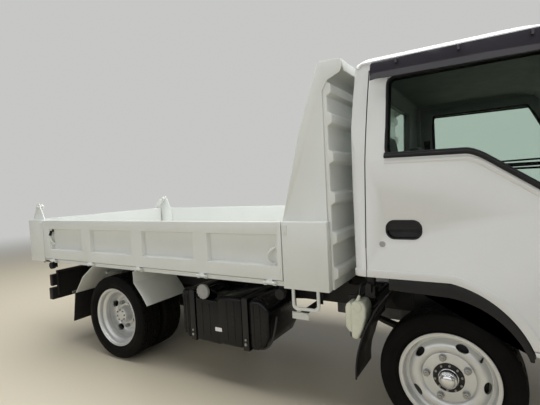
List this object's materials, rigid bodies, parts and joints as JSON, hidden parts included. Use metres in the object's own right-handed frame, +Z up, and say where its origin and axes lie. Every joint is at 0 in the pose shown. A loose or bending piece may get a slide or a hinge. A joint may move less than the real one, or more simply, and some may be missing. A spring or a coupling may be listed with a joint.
{
  "type": "dump truck",
  "caption": "Small cab-over dump truck with a low tipping bed, drop-side gates, top-hung tailgate, twin rear wheels and a tilting cab.",
  "frame": {"origin": "on the road surface, under the middle of the overall length and on the centre plane", "axes": "+X towards the front, +Y towards the left side, +Z up"},
  "size_m": [4.6908, 2.12, 2.0229],
  "materials": {
    "cab_white": "gloss paint",
    "bed_white": "semi-gloss paint",
    "chassis_black": "satin paint",
    "tank_black": "gloss moulding",
    "black_plastic": "grained",
    "grey_plastic": "grained",
    "milky_plastic": "translucent moulding",
    "rubber_black": "matt",
    "tyre_black": "matt",
    "wheel_silver": "silver paint",
    "bright_metal": "plated",
    "exhaust_steel": "dull",
    "engine_cast": "rough cast",
    "window_glass": "green tint",
    "lamp_clear": "clear lens",
    "lamp_red": "lens",
    "seat_fabric": "woven"
  },
  "bodies": {
    "chassis": {"ladder_frame": "chassis_black", "power_unit": "engine_cast", "front_axle": "chassis_black", "leaf_springs": "chassis_black", "rear_axle": "chassis_black", "propeller_shaft": "chassis_black", "fuel_tank": "tank_black", "tank_straps": "chassis_black", "filler_cap": "bright_metal", "battery_box": "black_plastic", "exhaust": "exhaust_steel", "coolant_bottle": "milky_plastic", "wheel_liners": "black_plastic", "rear_mudguards": "bed_white", "mud_flaps": "rubber_black", "rear_bumper": "chassis_black", "tail_lamps": "lamp_red", "front_bumper": "cab_white"},
    "knuckle_right": {"knuckle_right": "chassis_black"},
    "knuckle_left": {"knuckle_left": "chassis_black"},
    "front_wheel_right": {"front_tyre_right": "tyre_black", "front_rim_right": "wheel_silver"},
    "front_wheel_left": {"front_tyre_left": "tyre_black", "front_rim_left": "wheel_silver"},
    "rear_wheels_right": {"rear_tyres_right": "tyre_black", "rear_rims_right": "wheel_silver"},
    "rear_wheels_left": {"rear_tyres_left": "tyre_black", "rear_rims_left": "wheel_silver"},
    "bed": {"bed_floor": "bed_white", "bed_members": "bed_white", "bed_sills": "bed_white", "headboard": "bed_white", "front_posts": "bed_white", "rear_posts": "bed_white", "bed_steps": "bed_white", "gate_stops": "rubber_black"},
    "side_gate_right": {"side_gate_right": "bed_white"},
    "side_gate_left": {"side_gate_left": "bed_white"},
    "tailgate": {"tailgate": "bed_white"},
    "hoist_barrel": {"hoist_barrel": "chassis_black"},
    "hoist_rod": {"hoist_rod": "bright_metal"},
    "cab": {"cab_shell": "cab_white", "cab_glass": "window_glass", "grille": "black_plastic", "headlamps": "lamp_clear", "arch_bands": "black_plastic", "seats": "seat_fabric", "dashboard": "grey_plastic", "steering_wheel": "black_plastic", "mirrors": "black_plastic"},
    "door_right": {"door_right": "cab_white", "door_glass_right": "window_glass", "door_trim_right": "black_plastic"},
    "door_left": {"door_left": "cab_white", "door_glass_left": "window_glass", "door_trim_left": "black_plastic"}
  },
  "joints": [
    {"name": "steer_right", "type": "hinge", "parent": "chassis", "child": "knuckle_right", "pos_m": [1.345, -0.59, 0.34], "axis": [0, 0, 1], "range_deg": [-35, 35]},
    {"name": "steer_left", "type": "hinge", "parent": "chassis", "child": "knuckle_left", "pos_m": [1.345, 0.59, 0.34], "axis": [0, 0, 1], "range_deg": [-35, 35]},
    {"name": "front_wheel_right_turn", "type": "hinge", "parent": "knuckle_right", "child": "front_wheel_right", "pos_m": [1.345, -0.68, 0.34], "axis": [0, 1, 0], "continuous": true},
    {"name": "front_wheel_left_turn", "type": "hinge", "parent": "knuckle_left", "child": "front_wheel_left", "pos_m": [1.345, 0.68, 0.34], "axis": [0, 1, 0], "continuous": true},
    {"name": "rear_wheels_right_turn", "type": "hinge", "parent": "chassis", "child": "rear_wheels_right", "pos_m": [-1.135, -0.621, 0.34], "axis": [0, 1, 0], "continuous": true},
    {"name": "rear_wheels_left_turn", "type": "hinge", "parent": "chassis", "child": "rear_wheels_left", "pos_m": [-1.135, 0.621, 0.34], "axis": [0, 1, 0], "continuous": true},
    {"name": "bed_tilt", "type": "hinge", "parent": "chassis", "child": "bed", "pos_m": [-2.07, 0, 0.61], "axis": [0, -1, 0], "range_deg": [0, 50]},
    {"name": "hoist_swing", "type": "hinge", "parent": "chassis", "child": "hoist_barrel", "pos_m": [-0.35, 0, 0.575], "axis": [0, 1, 0], "range_deg": [0, 10]},
    {"name": "hoist_stroke", "type": "slide", "parent": "hoist_barrel", "child": "hoist_rod", "axis": [-0.9946, 0, 0.1039], "range_m": [0, 0.27]},
    {"name": "side_gate_right_fold", "type": "hinge", "parent": "bed", "child": "side_gate_right", "pos_m": [-0.8, -0.85, 0.768], "axis": [1, 0, 0], "range_deg": [0, 180]},
    {"name": "side_gate_left_fold", "type": "hinge", "parent": "bed", "child": "side_gate_left", "pos_m": [-0.8, 0.85, 0.768], "axis": [-1, 0, 0], "range_deg": [0, 180]},
    {"name": "tailgate_swing", "type": "hinge", "parent": "bed", "child": "tailgate", "pos_m": [-2.2, 0, 1.262], "axis": [0, 1, 0], "range_deg": [0, 80]},
    {"name": "cab_tilt", "type": "hinge", "parent": "chassis", "child": "cab", "pos_m": [2.25, 0, 0.6], "axis": [0, 1, 0], "range_deg": [0, 45]},
    {"name": "door_right_swing", "type": "hinge", "parent": "cab", "child": "door_right", "pos_m": [2.12, -0.847, 1], "axis": [0, 0, 1], "range_deg": [0, 70]},
    {"name": "door_left_swing", "type": "hinge", "parent": "cab", "child": "door_left", "pos_m": [2.12, 0.847, 1], "axis": [0, 0, -1], "range_deg": [0, 70]}
  ],
  "couplings": [
    {"joint": "steer_left", "follows": "steer_right", "ratio": 1},
    {"joint": "hoist_swing", "follows": "bed_tilt", "ratio": 0.16458},
    {"joint": "hoist_stroke", "follows": "bed_tilt", "m_per_rad": 0.29551}
  ]
}
